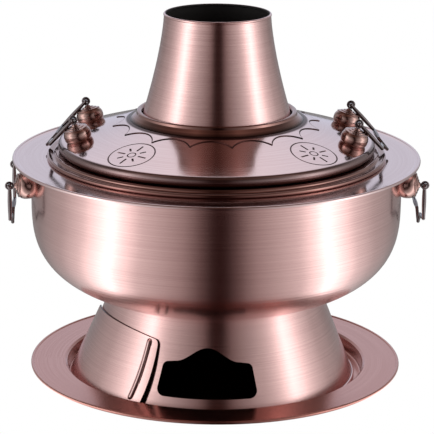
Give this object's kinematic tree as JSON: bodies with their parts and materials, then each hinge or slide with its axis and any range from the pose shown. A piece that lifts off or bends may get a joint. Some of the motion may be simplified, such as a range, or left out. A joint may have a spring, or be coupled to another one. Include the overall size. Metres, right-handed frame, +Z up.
{
  "type": "chimney hot pot",
  "caption": "Charcoal hot pot: a ring-shaped bowl round a flue on a conical fire pedestal, with a lift-off lid, drop handles, an air door and a tray.",
  "frame": {"origin": "on the ground under the flue's centre line", "axes": "+Z up along the flue, +X towards the right pair of knobs and handles, front with the draught opening at -Y"},
  "size_m": [0.3286, 0.32, 0.2932],
  "materials": {
    "brushed_copper": "brushed rose copper plating",
    "polished_copper": "polished rose copper plating",
    "dark_wire": "polished dark wire",
    "grate": "raw cast iron"
  },
  "bodies": {
    "tray": {"tray": "polished_copper"},
    "pot": {"pedestal": "brushed_copper", "bowl": "brushed_copper", "brim_ring": "polished_copper", "chimney": "brushed_copper", "grate_ring": "grate", "charcoal_grate": "grate", "bowl_knobs_right": "polished_copper", "bowl_eye_bolts_right": "dark_wire", "bowl_nuts_right": "dark_wire", "bowl_knobs_left": "polished_copper", "bowl_eye_bolts_left": "dark_wire", "bowl_nuts_left": "dark_wire"},
    "lid": {"lid_shell": "polished_copper", "lid_rim": "polished_copper", "lid_throat": "polished_copper", "lid_knobs_right": "polished_copper", "lid_eye_bolts_right": "dark_wire", "lid_nuts_right": "dark_wire", "lid_knobs_left": "polished_copper", "lid_eye_bolts_left": "dark_wire", "lid_nuts_left": "dark_wire"},
    "air_door": {"air_door": "brushed_copper"},
    "bowl_bail_right": {"bowl_bail_right": "dark_wire"},
    "bowl_bail_left": {"bowl_bail_left": "dark_wire"},
    "lid_bail_right": {"lid_bail_right": "dark_wire"},
    "lid_bail_left": {"lid_bail_left": "dark_wire"}
  },
  "joints": [
    {"name": "pot_lift", "type": "slide", "parent": "tray", "child": "pot", "axis": [0, 0, 1], "range_m": [0, 0.03]},
    {"name": "lid_lift", "type": "slide", "parent": "pot", "child": "lid", "axis": [0, 0, 1], "range_m": [0, 0.13]},
    {"name": "air_door_turn", "type": "hinge", "parent": "pot", "child": "air_door", "pos_m": [0, 0, 0], "axis": [0, 0, 1], "continuous": true},
    {"name": "bowl_bail_right_swing", "type": "hinge", "parent": "pot", "child": "bowl_bail_right", "pos_m": [0.16085, 0, 0.1638], "axis": [0, -1, 0], "range_deg": [-22, 187]},
    {"name": "bowl_bail_left_swing", "type": "hinge", "parent": "pot", "child": "bowl_bail_left", "pos_m": [-0.16085, 0, 0.1638], "axis": [0, 1, 0], "range_deg": [-22, 187]},
    {"name": "lid_bail_right_swing", "type": "hinge", "parent": "lid", "child": "lid_bail_right", "pos_m": [0.10849, 0, 0.2127], "axis": [0, -1, 0], "range_deg": [0, 229]},
    {"name": "lid_bail_left_swing", "type": "hinge", "parent": "lid", "child": "lid_bail_left", "pos_m": [-0.10769, 0.01322, 0.2127], "axis": [0.1219, 0.9925, 0], "range_deg": [0, 229]}
  ]
}
